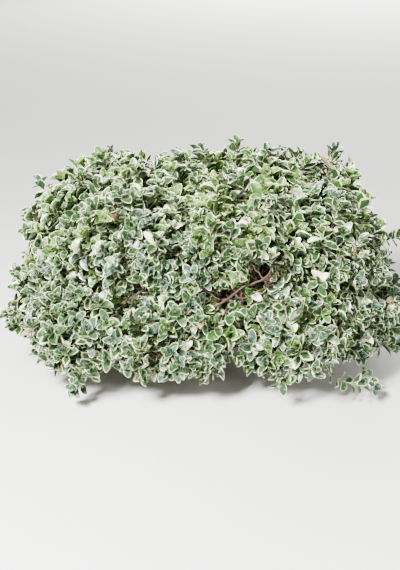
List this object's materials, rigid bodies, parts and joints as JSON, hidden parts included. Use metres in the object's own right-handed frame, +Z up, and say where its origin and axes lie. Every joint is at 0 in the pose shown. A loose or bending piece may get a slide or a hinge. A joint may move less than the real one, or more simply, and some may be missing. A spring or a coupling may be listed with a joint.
{
  "type": "variegated euonymus shrub",
  "caption": "Low, dense, mounded variegated Japanese euonymus with small white-edged green leaves on a short stump with spreading boughs, rooted in the ground.",
  "frame": {"origin": "middle of the flat cut under the stump, at ground level", "axes": "+Z up along the stump, X along the crown's longest side, -Y towards the side seen in the picture"},
  "size_m": [1.1386, 0.8651, 0.6244],
  "materials": {
    "bark": "matte",
    "foliage": "satin"
  },
  "bodies": {
    "root": {"bough_shoulder_1": "bark", "bough_shoulder_2": "bark", "bough_shoulder_3": "bark", "bough_shoulder_4": "bark", "bough_shoulder_5": "bark", "bough_shoulder_6": "bark", "bough_shoulder_7": "bark", "bough_shoulder_8": "bark", "bough_skirt_1": "bark", "bough_skirt_2": "bark", "bough_skirt_3": "bark", "bough_skirt_4": "bark", "bough_skirt_5": "bark", "bough_skirt_6": "bark", "bough_skirt_7": "bark", "bough_skirt_8": "bark", "bough_skirt_9": "bark", "bough_top_1": "bark", "bough_top_2": "bark", "bough_top_3": "bark", "foliage_shoulder_1": "foliage", "foliage_shoulder_2": "foliage", "foliage_shoulder_3": "foliage", "foliage_shoulder_4": "foliage", "foliage_shoulder_5": "foliage", "foliage_shoulder_6": "foliage", "foliage_shoulder_7": "foliage", "foliage_shoulder_8": "foliage", "foliage_skirt_1": "foliage", "foliage_skirt_2": "foliage", "foliage_skirt_3": "foliage", "foliage_skirt_4": "foliage", "foliage_skirt_5": "foliage", "foliage_skirt_6": "foliage", "foliage_skirt_7": "foliage", "foliage_skirt_8": "foliage", "foliage_skirt_9": "foliage", "foliage_top_1": "foliage", "foliage_top_2": "foliage", "foliage_top_3": "foliage", "trunk": "bark"}
  },
  "joints": []
}
